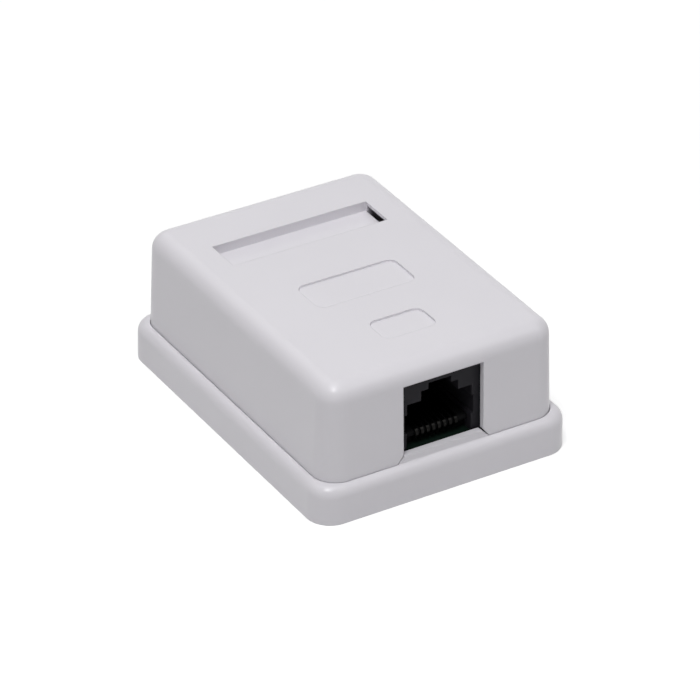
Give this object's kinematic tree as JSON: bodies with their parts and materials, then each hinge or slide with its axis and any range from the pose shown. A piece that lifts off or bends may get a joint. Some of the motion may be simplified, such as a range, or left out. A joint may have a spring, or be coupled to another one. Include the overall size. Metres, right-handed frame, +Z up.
{
  "type": "surface mount jack box",
  "caption": "Small white two-piece surface box with a front modular jack window, a label recess on top and a rimmed base for a wall or desk.",
  "frame": {"origin": "middle of the base's underside, on the surface that the box is fixed to", "axes": "+X across the short side, to the right as seen from the jack side; -Y is the side that the jack faces; +Z up from the mounting surface, which is also the way the cover lifts off"},
  "size_m": [0.0462, 0.061, 0.0231],
  "materials": {
    "shell_plastic": "fine satin moulded surface, cool white",
    "jack_plastic": "black moulded housing",
    "insert_plastic": "black moulded insert",
    "terminal_plastic": "off-white moulded terminal block",
    "board_laminate": "green lacquered laminate",
    "contact_gold": "gold-plated spring wire",
    "terminal_metal": "tin-plated bronze",
    "screw_steel": "zinc-plated steel"
  },
  "bodies": {
    "base_body": {"base": "shell_plastic", "circuit_board": "board_laminate", "jack_housing": "jack_plastic", "contact_insert": "insert_plastic", "board_screws": "screw_steel", "terminal_block_front": "terminal_plastic", "terminal_block_rear": "terminal_plastic", "jack_contact_1": "contact_gold", "jack_contact_2": "contact_gold", "jack_contact_3": "contact_gold", "jack_contact_4": "contact_gold", "jack_contact_5": "contact_gold", "jack_contact_6": "contact_gold", "jack_contact_7": "contact_gold", "jack_contact_8": "contact_gold", "terminal_contact_1": "terminal_metal", "terminal_contact_2": "terminal_metal", "terminal_contact_3": "terminal_metal", "terminal_contact_4": "terminal_metal", "terminal_contact_5": "terminal_metal", "terminal_contact_6": "terminal_metal", "terminal_contact_7": "terminal_metal", "terminal_contact_8": "terminal_metal"},
    "cover_body": {"cover": "shell_plastic"}
  },
  "joints": [
    {"name": "cover_lift", "type": "slide", "parent": "base_body", "child": "cover_body", "axis": [0, 0, 1], "range_m": [0, 0.028]}
  ]
}
